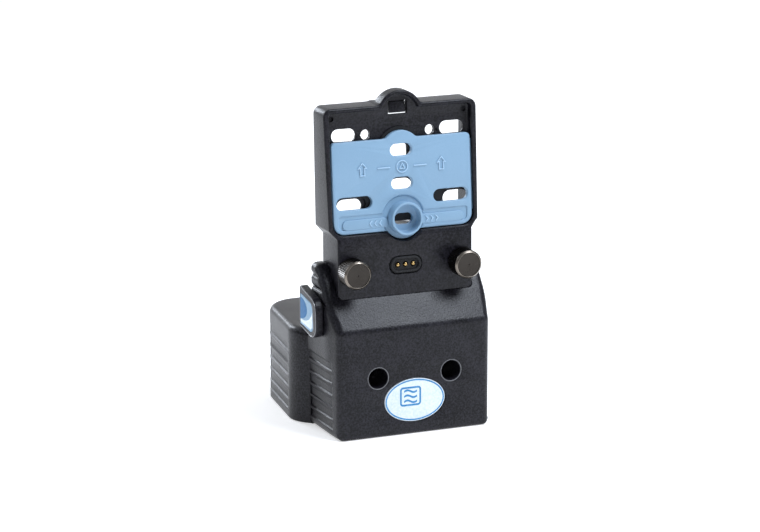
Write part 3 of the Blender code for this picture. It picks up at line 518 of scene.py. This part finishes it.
def make_plate():
    form = bmesh.new()
    loft(form, plate_outline(), levels(0.0, 17.5, 0.9, 0.7, 5), on_front)
    bisect(form, 2, [z * MM for z in (90.5, TRAY_Z)])
    for point in form.verts:
        y, z = point.co.y / MM + DEPTH / 2, point.co.z / MM
        point.co.y += (plate_front(z) if y < 8 else TRAY_Y) * MM
    plate = put("plate_shell", finished("plate_shell", form))
    tongue = lofts("tongue", [(box_outline(-24.5, 52.6, 24.5, 64.6), [(13.9, 0), (24.0, 0)])])
    combine(plate, tongue, "UNION")

    form = bmesh.new()
    loft(form, tray_outline(34.8, -1.4, 54.6, 9.6), flared(0, FLOOR, 0.5, 5, 0.9), on_tray)
    bend_z = 143.5
    bisect(form, 2, [bend_z * MM])
    for point in form.verts:
        y, z = point.co.y / MM + DEPTH / 2, point.co.z / MM
        floor_y = TRAY_Y + math.tan(LEAN) * (z - TRAY_Z) + 3.2
        if z > bend_z and y > floor_y:
            point.co.y -= 0.22 * min(z - bend_z, 4.5) * MM
    combine(plate, put("recess", finished("recess", form)))

    runs = []
    for low, high in ((-35.7, -34.0), (34.0, 35.7)):
        runs.append((box_outline(low, 3.0, high, 55.0), [(1.65, 0), (3.15, 0)]))
    combine(plate, lofts("runs", runs, on_tray))
    # behind the floor, with the bulge below cut off straight at foot
    foot = 2.5
    back = [(x, max(z, foot)) for x, z in tray_outline(34.3, 2.6, 53.8, 9.2, 3.0, 9.0)]
    flat = [p for i, p in enumerate(back) if p[1] > foot or back[i - 1][1] > foot]
    combine(plate, lofts("back", [(flat, [(FLOOR + 1.2, 0), (40.0, 0)])], on_tray))

    holes = [(outline, flared(FLOOR, 8.0, 0.3)) for outline in floor_holes()]
    holes.append((box_outline(-4.4, 51.75, 4.4, 57.6), flared(FLOOR, 9.0, 0.3, 3.0)))
    combine(plate, lofts("holes", holes, on_tray))
    port = [(stadium(0, 4.2, 9.6, 5.6), [(3.0, 0), (20.0, 0)])]
    pits = flared(FLOOR, FLOOR + 0.7, 0.2)
    port += [(circle(x, 43.0, 0.7, 20), pits) for x in (-18.7, 18.7)]
    port += [(circle(x, 51.4, 1.25, 24), flared(3.6, 4.9, 0.3)) for x in (-32.5, 32.5)]
    combine(plate, lofts("port", port, on_tray))

    pocket = [(box_outline(-19.5, 66.6, 19.5, 86.2, 1.0, 3), [(13.4, 0), (40.0, 0)])]
    pocket.append((box_outline(-20.0, 150.5, 20.0, 160.0), [(23.8, 0), (60.0, 0)]))
    combine(plate, lofts("pocket", pocket))
    front_y = plate_front(77)
    screws = [(circle(x, KNOB_Z, 2.3, 32), flared(front_y, 25.0, 0.3)) for x in KNOBS_X.values()]
    clips = [(circle(x, KNOB_Z, 5.0, 40), [(23.2, 0), (40.0, 0)]) for x in KNOBS_X.values()]
    rest = [(stadium(0, PIN_Z, 16.0, 8.2, 18), flared(front_y, 20.0, 0.45))]
    rest += [(circle(x, 57.0, 1.3, 16), [(13.0, 0), (25.0, 0)]) for x in (-19, 19)]
    # the clip pockets cross the screw holes, so each kind is cut on its own
    for group in (screws, clips, rest):
        combine(plate, lofts("pocket", group))
    return plate


# ---------------------------------------------------------------- shutter and latch


def slide_outline():
    half, low, top, bulge_r = 34.1, -1.0, 41.0, 9.6
    dip = math.degrees(math.asin((low - PORT_Z) / bulge_r))
    below = arc(0, PORT_Z, bulge_r, -180 - dip, dip, 28)
    right = arc(half - 5.2, low + 5.2, 5.2, -90, 0, 10)
    right += arc(half - 2.0, top - 2.0, 2.0, 0, 90, 6)
    above = arc(0, 34.7, 9.8, 46.0, 134.0, 20)
    right += curve((9.0, top), (7.6, top), above[0], 4)[:-1]
    return below + right + above + [(-x, z) for x, z in reversed(right)]


def arrow(cx, low, high, width):
    """An arrow that points up, from its foot to its apex."""
    neck, stem = high - width * 0.62, width * 0.26
    right = [(cx + stem, low), (cx + stem, neck), (cx + width / 2, neck)]
    return right + [(cx, high)] + [(2 * cx - x, z) for x, z in reversed(right)]


def ridge(form, outline, line, front, base, place):
    """Adds a raised line that follows a closed outline; its top is rounded a little."""
    wall = [(base, 0.0), (front + 0.12, 0.0), (front, -0.1)]
    rings = []
    for depth, offset in wall:
        rings.append([form.verts.new(place(u, v, depth)) for u, v in grown(outline, offset)])
    for depth, offset in reversed(wall):
        ring = grown(outline, -line - offset)
        rings.append([form.verts.new(place(u, v, depth)) for u, v in ring])
    rings.append(rings[0])
    for low, high in zip(rings, rings[1:]):
        for i in range(len(outline)):
            j = (i + 1) % len(outline)
            form.faces.new((low[i], low[j], high[j], high[i]))


def make_slide():
    face, back = 0.8, 3.0
    slide = lofts("shutter", [(slide_outline(), levels(face, back, 0.55, 0.3))], on_tray)
    band = rounded([(-31.6, 1.0, 2.2), (31.6, 1.0, 2.2), (31.6, 7.4, 1.2), (-31.6, 7.4, 1.2)])
    combine(slide, lofts("band", [(band, flared(face, face + 0.55, 0.35, 1.0, 0.2))], on_tray))
    skirt = [(circle(0, PORT_Z, 10.0, 64), flared(face, face + 0.75, 0.8, 1.0, 0.2))]
    combine(slide, lofts("skirt", skirt, on_tray))
    raised = levels(face - 0.1, 2.4, 0.3)
    bars = [(stadium(x, 3.2, 22.4, 4.6), raised) for x in (-18.7, 18.7)]
    combine(slide, lofts("bars", bars, on_tray), "UNION")
    cup = [(circle(0, PORT_Z, 7.6, 72), levels(-4.2, back - 0.15, 0.5))]
    combine(slide, lofts("cup", cup, on_tray), "UNION")
    runs = []
    for low, high in ((-35.3, -33.4), (33.4, 35.3)):
        runs.append((box_outline(low, 5.5, high, 38.0), [(2.0, 0), (2.8, 0)]))
    combine(slide, lofts("runs", runs, on_tray), "UNION")
    bore = [(circle(0, PORT_Z, 6.5, 72), flared(-4.2, face, 0.25, 1.0, 0.8))]
    combine(slide, lofts("bore", bore, on_tray))
    slots = [
        stadium(-0.1, 35.6, 10.6, 5.6),
        stadium(-0.1, 20.4, 10.4, 5.6),
        stadium(-23.7, 13.0, 17.4, 5.8),
        stadium(23.7, 13.2, 17.0, 5.8),
    ]
    combine(slide, lofts("slots", [(s, flared(face, 5.0, 0.5)) for s in slots], on_tray))
    window = [(stadium(0, 4.2, 9.2, 5.2), [(-2.0, 0), (6.0, 0)])]
    combine(slide, lofts("window", window, on_tray))
    return slide


def make_marks():
    """Raised marks on the shutter: two arrows, a plain pump sign and chevrons by the port; their
    lighter blue is a painted highlight.
    """
    form = bmesh.new()
    front, base = 0.3, 0.95
    for x in (-19.4, 19.4):
        ridge(form, arrow(x, 25.0, 31.3, 4.8), 0.5, front, base, on_tray)
    ridge(form, circle(0, 28.0, 2.9, 40), 0.5, front, base, on_tray)
    ridge(form, [(-1.7, 26.9), (1.7, 26.9), (0, 30.0)], 0.45, front, base, on_tray)
    for side in (-1, 1):
        for reach in (11.2, 13.6, 16.0):
            tip, foot = side * (reach + 1.1), side * reach
            inner_tip, inner_foot = tip - side * 0.65, foot - side * 0.55
            bent = [(foot, 1.9), (tip, 3.2), (foot, 4.5)]
            bent += [(inner_foot, 4.5), (inner_tip, 3.2), (inner_foot, 1.9)]
            loft(form, bent, [(0.3, -0.06), (0.42, 0), (0.9, 0)], on_tray)
        dash = stadium(side * 9.0, 28.0, 6.4, 0.55, 4)
        loft(form, dash, [(front, -0.1), (front + 0.1, 0), (base, 0)], on_tray)
    return put("shutter_marks", finished("shutter_marks", form))


def make_latch():
    low, top, back = 52.2, 57.3, FLOOR + 1.5
    side = rounded(
        [
            (FLOOR - 0.25, low + 0.5, 0.3),
            (FLOOR + 0.1, top, 0.1),
            (back, top, 0),
            (back, top + 1.6, 0),
            (back + 1.1, top + 1.6, 0.2),
            (back + 1.1, low + 2.6, 0),
            (back + 2.0, low + 1.0, 0.2),
            (back + 2.0, low, 0.2),
            (FLOOR + 0.2, low, 0.1),
        ],
        3,
    )
    return lofts("latch_tongue", [(side, levels(-3.95, 3.95, 0.2, 0.2, 3))], across_tray)


# ---------------------------------------------------------------- screws and contacts


def make_knob(side, x):
    ridges, back = 46, 10.15
    profile = [(0, 1.55), (0.28, 1.55), (0.42, 1.25), (5.3, 1.15), (5.45, 0.95), (5.6, 0.8)]
    profile += [(5.75, 0.82), (6.45, 1.5), (6.57, 1.7), (6.6, 1.95)]
    profile += [(6.6, 2.6), (6.6, 5.0), (6.6, 7.5), (6.6, 9.2), (6.45, 9.75), (6.1, back)]
    profile += [(2.0, back), (2.0, 28.1), (1.55, 28.1), (1.55, 29.1), (2.0, 29.1)]
    profile += [(2.0, 33.3), (1.3, 34.0), (0, 34.0)]
    knob = turned(f"{side}_knob", profile, (x, 0, KNOB_Z), ridges * 4, smooth=50)
    for point in knob.data.vertices:
        u, v = point.co.x / MM - x, point.co.z / MM - KNOB_Z
        r, y = math.hypot(u, v), point.co.y / MM + DEPTH / 2
        if r > 6.58 and 1.8 < y < 9.6:
            turn = math.atan2(v, u) / (2 * math.pi) * ridges
            drop = 0.36 * abs(2 * (turn - math.floor(turn)) - 1)
            scale = (r - drop) / r
            point.co.x, point.co.z = (x + u * scale) * MM, (KNOB_Z + v * scale) * MM
    shade(knob.data, 25)
    return knob


def make_block():
    face, floor = 9.9, 11.1
    block = [(stadium(0, PIN_Z, 15.4, 7.6, 18), levels(face, 16.0, 0.7))]
    block = lofts("contact_carrier", block)
    combine(block, lofts("well", [(stadium(0, PIN_Z, 12.6, 5.2, 18), flared(face, floor, 0.5))]))
    bores = [(circle(x, PIN_Z, 1.25, 28), flared(floor, 20.0, 0.2, 0.6)) for x in PINS_X.values()]
    return combine(block, lofts("bores", bores))


def make_pin(name, x):
    profile = [(0, 10.3), (0.35, 10.33), (0.67, 10.5), (0.88, 10.8), (0.95, 11.15)]
    profile += [(0.95, 17.0), (1.45, 17.0), (1.45, 17.6), (0, 17.6)]
    return turned(f"pin_{name}", profile, (x, 0, PIN_Z), 32, smooth=50)


# ---------------------------------------------------------------- inlet head and badge


def head_outline():
    return rounded([(31.5, 48.2, 0.9), (31.5, 67.3, 0.9), (12.2, 63.2, 6.0), (11.4, 44.4, 6.0)], 8)


def label_outline():
    return rounded([(31.2, 49.4, 0.5), (31.2, 63.5, 0.5), (16.6, 61.3, 3.5), (15.0, 47.6, 3.5)])


def make_head():
    head = lofts("inlet_head", [(head_outline(), levels(HEAD_OUT, -39.95, 0.6, 0.35))], on_side)
    centre = (CAP_BACK, INLET_Y, INLET_Z)
    room = [(0, -1), (6.2, -1), (6.2, 1.5), (0, 1.5)]
    combine(head, turned("room", room, centre, 40, "-X"))
    stem = [(0, -1.3), (2.3, -1.3), (2.3, 1.9), (0, 1.9)]
    combine(head, turned("stem", stem, centre, 32, "-X"), "UNION")
    seat = [(grown(label_outline(), 0.25), flared(HEAD_OUT, HEAD_OUT + 0.55, 0.15))]
    combine(head, lofts("seat", seat, on_side))
    mouth = [(circle(-41.9, INLET_Z, 0.6, 20), [(24.0, 0), (33.0, 0)])]
    return combine(head, lofts("mouth", mouth))


def make_head_label():
    """The label in the head's outer face, a deep blue disc printed on it, and a pale crescent
    along its foot that is a painted highlight.
    """
    sheet = levels(HEAD_OUT + 0.1, HEAD_OUT + 0.5, 0.12)
    label = lofts("head_label", [(label_outline(), sheet)], on_side)
    thin_layer = levels(HEAD_OUT + 0.04, HEAD_OUT + 0.2, 0.03)
    disc = [(30.9 + 8.0 * math.sin(a), 56.9 - 5.0 * math.cos(a)) for a in span(-math.pi, 0, 0.1)]
    mark = lofts("head_mark", [(disc, thin_layer)], on_side)
    # the pale crescent along the label's foot is a painted highlight
    foot = [(30.6, 51.6), (30.6, 50.4), (18.2, 49.2), (16.2, 50.6), (16.3, 57.6)]
    foot += curve(foot[-1], (19.4, 51.2), foot[0], 10)[1:-1]
    return label, mark, lofts("head_label_highlight", [(foot, thin_layer)], on_side)


def make_rims():
    """Beads round the two screw bores, in a lighter grey that is a painted highlight."""
    form = bmesh.new()
    for x in SCREWS_X:
        ridge(form, circle(x, SCREW_Z, 5.3, 72), 0.45, 0.06, 0.6, on_front)
    return put("bore_rims", finished("bore_rims", form))


def make_head_rim():
    """A bead round the outer face of the inlet head, in a lighter grey that is a painted
    highlight.
    """
    form = bmesh.new()
    ridge(form, grown(head_outline(), -0.2), 0.45, HEAD_OUT - 0.08, HEAD_OUT + 0.36, on_side)
    return put("head_rim", finished("head_rim", form))


def make_badge():
    """The oval badge: its plate, its rim and a plain sign of air flowing."""
    plate = lofts("badge_plate", [(oval(0, BADGE_Z, 14.9, 10.1, 96), levels(0.12, 0.75, 0.2))])
    form = bmesh.new()
    ridge(form, oval(0, BADGE_Z, 14.55, 9.75, 96), 0.75, 0.05, 0.3, on_front)
    rim = put("badge_rim", finished("badge_rim", form))
    form = bmesh.new()
    ridge(form, box_outline(-7.4, 13.4, 3.2, 22.6, 1.6, 5), 1.0, 0.06, 0.3, on_front)
    for z in (15.6, 18.0, 20.4):
        turn = [i / 16 for i in range(17)]
        wave = [(-5.3 + 6.4 * t, z + 0.55 * math.sin(t * 2 * math.pi)) for t in turn]
        low = [(x, y - 0.5) for x, y in wave]
        high = [(x, y + 0.5) for x, y in reversed(wave)]
        loft(form, low + high, [(0.06, -0.05), (0.12, 0), (0.3, 0)], on_front)
    sign = put("badge_sign", finished("badge_sign", form))
    return plate, rim, sign


# ---------------------------------------------------------------- materials


def new_material(name, **inputs):
    """A Principled material whose uniform values are set on the shader's own sockets."""
    made = bpy.data.materials.new(name)
    made.use_nodes = True
    shader = made.node_tree.nodes["Principled BSDF"]
    for key, value in inputs.items():
        socket = shader.inputs[key.replace("_", " ")]
        socket.default_value = (*value, 1.0) if isinstance(value, tuple) else value
    return made, made.node_tree, shader


def node(tree, kind, inputs=None, **settings):
    made = tree.nodes.new(kind)
    for key, value in settings.items():
        setattr(made, key, value)
    for key, value in (inputs or {}).items():
        if hasattr(value, "is_output"):
            tree.links.new(value, made.inputs[key])
        else:
            made.inputs[key].default_value = value
    return made


def noise(tree, scale, detail=2.0, rough=0.5):
    coords = node(tree, "ShaderNodeTexCoord").outputs["Object"]
    inputs = {"Vector": coords, "Scale": scale, "Detail": detail, "Roughness": rough}
    return node(tree, "ShaderNodeTexNoise", inputs).outputs["Fac"]


def spread(tree, value, low, high):
    """The middle of a noise value's range, as low..high."""
    inputs = {"Value": value, "From Min": 0.3, "From Max": 0.7, "To Min": low, "To Max": high}
    return node(tree, "ShaderNodeMapRange", inputs).outputs["Result"]


def tinted(tree, value, dark, light, reach=0.2):
    """A colour from dark to light, as value goes from reach below a half to reach above."""
    ramp = node(tree, "ShaderNodeValToRGB", {"Fac": value})
    ramp.color_ramp.elements[0].color = (*dark, 1.0)
    ramp.color_ramp.elements[1].color = (*light, 1.0)
    ramp.color_ramp.elements[0].position = 0.5 - reach
    ramp.color_ramp.elements[1].position = 0.5 + reach
    return ramp.outputs["Color"]


def moulded(name, dark, light, rough, grain=2600, depth=0.25, specular=0.5, patches=70,
            reach=0.2):
    """Moulded plastic or rubber: a fine grain, with soft patches of colour and gloss."""
    made, tree, shader = new_material(name, Specular_IOR_Level=specular)
    fine = noise(tree, grain, 3.0, 0.6)
    broad = noise(tree, patches, 3.0, 0.55)
    inputs = {"Factor": 0.25, "A": fine, "B": broad}
    mixed = node(tree, "ShaderNodeMix", inputs).outputs["Result"]
    tree.links.new(tinted(tree, mixed, dark, light, reach), shader.inputs["Base Color"])
    tree.links.new(spread(tree, broad, rough - 0.02, rough + 0.03), shader.inputs["Roughness"])
    bumps(tree, shader, fine, depth, 0.00012)
    return made


def bumps(tree, shader, height, strength, distance):
    inputs = {"Height": height, "Strength": strength, "Distance": distance}
    bump = node(tree, "ShaderNodeBump", inputs)
    tree.links.new(bump.outputs["Normal"], shader.inputs["Normal"])


def metal(name, colour, rough, centre=None):
    """Turned metal: fine circular tool marks about centre, or a plain grain without one."""
    made, tree, shader = new_material(name, Metallic=1.0)
    broad = noise(tree, 120, 3.0)
    low = tuple(c * 0.82 for c in colour)
    tree.links.new(tinted(tree, broad, low, colour), shader.inputs["Base Color"])
    tree.links.new(spread(tree, broad, rough - 0.04, rough + 0.07), shader.inputs["Roughness"])
    if centre is None:
        height = noise(tree, 900)
    else:
        coords = node(tree, "ShaderNodeTexCoord").outputs["Object"]
        inputs = {"Vector": coords, "Location": tuple(-c for c in centre)}
        moved = node(tree, "ShaderNodeMapping", inputs).outputs["Vector"]
        inputs = {"Vector": moved, "Scale": 420.0, "Distortion": 0.4}
        inputs.update({"Detail": 2.0, "Detail Scale": 2.0})
        rings = node(tree, "ShaderNodeTexWave", inputs, wave_type="RINGS", rings_direction="Y")
        height = rings.outputs["Fac"]
    bumps(tree, shader, height, 0.35, 0.00005)
    return made


BLACK = moulded(
    "black_plastic",
    (0.001, 0.001, 0.002),
    (0.019, 0.018, 0.024),
    rough=0.35,
    grain=1250,
    depth=1.0,
    specular=0.25,
    patches=90,
    reach=0.10,
)
# a lighter grey for the beads round the screw bores and the inlet head: a painted highlight
BEAD_HIGHLIGHT = moulded("painted_edge_highlight", (0.10, 0.102, 0.112), (0.13, 0.132, 0.142), 0.2, 1150, 0.05, 0.9)
BLUE = moulded("blue_plastic", (0.21, 0.355, 0.505), (0.24, 0.39, 0.545), 0.45, 2400, 0.08, 0.5)
# a lighter blue for the shutter's raised marks, which are the shutter's own plastic: a painted
# highlight
MARK_HIGHLIGHT = moulded("blue_mark_highlight", (0.35, 0.53, 0.70), (0.40, 0.58, 0.75), 0.35, 2400, 0.08, 0.6)
RUBBER = moulded("black_rubber", (0.01, 0.01, 0.011), (0.02, 0.02, 0.022), 0.72, 2200, 0.3, 0.3)
GREY = moulded("grey_plastic", (0.28, 0.29, 0.31), (0.36, 0.37, 0.39), 0.5, 1800, 0.2)
# the badge's own pale face, and the pale crescent on the inlet label, which is a painted highlight
PALE_AND_HIGHLIGHT = moulded("pale_badge_and_highlight", (0.60, 0.73, 0.82), (0.84, 0.89, 0.92), 0.22, 900, 0.02, 0.5, 160)
SKY = moulded("sky_label", (0.25, 0.40, 0.55), (0.31, 0.46, 0.60), 0.5, 900, 0.02, 0.3, 160)
DEEP = moulded("deep_label", (0.02, 0.13, 0.32), (0.05, 0.19, 0.40), 0.5, 900, 0.02, 0.25, 160)
INK = moulded("blue_ink", (0.03, 0.20, 0.46), (0.05, 0.28, 0.56), 0.25, 900, 0.02, 0.5, 160)
BOARD = moulded("green_board", (0.01, 0.10, 0.04), (0.02, 0.17, 0.07), 0.35, 1200, 0.1)
CHIP = moulded("chip", (0.012, 0.012, 0.012), (0.03, 0.03, 0.03), 0.4, 2000, 0.2)
CELL = moulded("cell_sleeve", (0.02, 0.16, 0.07), (0.04, 0.24, 0.11), 0.28, 700, 0.05)
HOSE = moulded("clear_hose", (0.62, 0.61, 0.56), (0.74, 0.73, 0.69), 0.3, 600, 0.05)
FILTER = moulded("white_filter", (0.70, 0.70, 0.68), (0.88, 0.88, 0.86), 0.9, 3000, 0.6, 0.2)
STEEL = metal("steel", (0.60, 0.60, 0.62), 0.28)
GOLD = metal("gold_contact", (0.62, 0.42, 0.17), 0.3)
# a lighter metal for the chamfer ring round each knob's face: a painted highlight
CHAMFER_HIGHLIGHT = metal("chamfer_highlight", (0.24, 0.21, 0.18), 0.3)
KNOBS = {}
for side, x in KNOBS_X.items():
    KNOBS[side] = metal(f"{side}_knob", (0.052, 0.046, 0.041), 0.30, at(x, 2.0, KNOB_Z))


# ---------------------------------------------------------------- the object


def show(piece, body, material, replaces=()):
    """Gives a piece its material and slot, and the moving body and CAD nodes it stands for."""
    piece.data.materials.clear()
    piece.data.materials.append(material)
    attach(piece, body)
    if replaces:
        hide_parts(*replaces)


show(make_front(), "housing", BLACK, ["front_housing"])
show(make_rear(), "housing", BLACK, ["rear_housing"])
show(make_plate(), "housing", BLACK, ["docking_plate"])
show(make_slide(), "mode_slide", BLUE, ["mode_slide"])
# the marks' lighter blue is a painted highlight
show(make_marks(), "mode_slide", MARK_HIGHLIGHT)
show(make_latch(), "top_latch", BLACK, ["top_latch"])
for side, x in KNOBS_X.items():
    knob = make_knob(side, x)
    show(knob, f"{side}_knob", KNOBS[side], [f"{side}_thumb_screw"])
    # the chamfer ring round the knob's face gets the lighter metal, a painted highlight
    knob.data.materials.append(CHAMFER_HIGHLIGHT)
    for face in knob.data.polygons:
        y = face.center.y / MM + DEPTH / 2
        out = math.hypot(face.center.x / MM - x, face.center.z / MM - KNOB_Z)
        face.material_index = int(out > 5.6 and y < 1.7)
show(make_block(), "housing", RUBBER, ["contact_block"])
for name, x in PINS_X.items():
    show(make_pin(name, x), f"pin_{name}", GOLD, [f"contact_pin_{name}"])
show(make_head(), "inlet_head", BLACK, ["inlet_cap"])
label, disc, foot = make_head_label()
show(label, "inlet_head", SKY, ["inlet_label"])
show(disc, "inlet_head", DEEP)
# the pale crescent on the label is a painted highlight
show(foot, "inlet_head", PALE_AND_HIGHLIGHT)
# the head's bead and the bores' beads take the lighter grey of a painted highlight
show(make_head_rim(), "inlet_head", BEAD_HIGHLIGHT)
show(make_rims(), "housing", BEAD_HIGHLIGHT)
badge, badge_rim, badge_sign = make_badge()
show(badge, "housing", PALE_AND_HIGHLIGHT, ["front_badge"])
show(badge_rim, "housing", INK)
show(badge_sign, "housing", INK)

FINISHES = {
    "black_rubber": RUBBER,
    "steel": STEEL,
    "grey_plastic": GREY,
    "board": BOARD,
    "chip": CHIP,
    "cell_sleeve": CELL,
    "hose": HOSE,
    "filter": FILTER,
}
for subpart in frame["record"]["subparts"]:
    finish = FINISHES.get(subpart["material_slot"])
    if finish:
        for holder in frame["nodes"][subpart["node"]].material_slots:
            holder.material = finish


# ---------------------------------------------------------------- floor, light and camera


def make_stage():
    made, tree, shader = new_material("floor", Roughness=0.6, Specular_IOR_Level=0.2)
    white = tinted(tree, noise(tree, 6), (0.93, 0.93, 0.93), (0.95, 0.95, 0.95))
    tree.links.new(white, shader.inputs["Base Color"])
    shader.inputs["Emission Color"].default_value = (1, 1, 1, 1)
    shader.inputs["Emission Strength"].default_value = 0.48
    form = bmesh.new()
    bend = 1.2
    turn = [math.pi / 2 * k / 12 for k in range(1, 13)]
    sweep = [(-3.0, 0.0), (bend, 0.0)]
    sweep += [(bend + bend * math.sin(a), bend - bend * math.cos(a)) for a in turn]
    sweep.append((2 * bend, 4.0))
    rows = [[form.verts.new((x, y, z)) for x in (-4.0, 4.0)] for y, z in sweep]
    for low, high in zip(rows, rows[1:]):
        form.faces.new((low[0], low[1], high[1], high[0]))
    floor = put("backdrop", finished("backdrop", form))
    floor.data.materials.append(made)


def add_light(name, place, size, power):
    """A cool rectangular light that faces the middle of the object."""
    lamp = bpy.data.lights.new(name, "AREA")
    lamp.shape = "RECTANGLE"
    lamp.size, lamp.size_y = size
    lamp.energy = power
    lamp.color = (0.85, 0.91, 1.0)
    piece = bpy.data.objects.new(name, lamp)
    bpy.context.collection.objects.link(piece)
    piece.location = place
    aim = Vector((0, 0, 0.08)) - Vector(place)
    piece.rotation_euler = aim.to_track_quat("-Z", "Y").to_euler()


def make_lights():
    world = bpy.data.worlds.new("studio")
    bpy.context.scene.world = world
    world.use_nodes = True
    sky = world.node_tree.nodes["Background"]
    sky.inputs["Color"].default_value = (0.9, 0.94, 1.0, 1)
    sky.inputs["Strength"].default_value = 0.26
    add_light("key", (0.40, -0.45, 0.95), (0.5, 0.4), 11.4)
    add_light("fill", (0.8, -0.9, 0.35), (0.5, 0.5), 0.8)
    add_light("side", (-0.9, 0.0, 0.75), (0.2, 0.35), 1.6)
    add_light("rim", (-0.28, 0.9, 0.44), (0.25, 0.3), 4.4)


def make_camera():
    lens = bpy.data.cameras.new("camera")
    lens.lens, lens.sensor_width, lens.sensor_fit = 152.95, 36.0, "HORIZONTAL"
    lens.shift_x, lens.shift_y = -0.0232, -0.0018
    piece = bpy.data.objects.new("camera", lens)
    bpy.context.collection.objects.link(piece)
    piece.location = (-0.5640, -1.3442, 0.4253)
    aim = Vector((0, -0.027, 0.075)) - piece.location
    piece.rotation_euler = aim.to_track_quat("-Z", "Y").to_euler()
    bpy.context.scene.camera = piece


make_stage()
make_lights()
make_camera()
bpy.context.scene.view_settings.view_transform = "Standard"
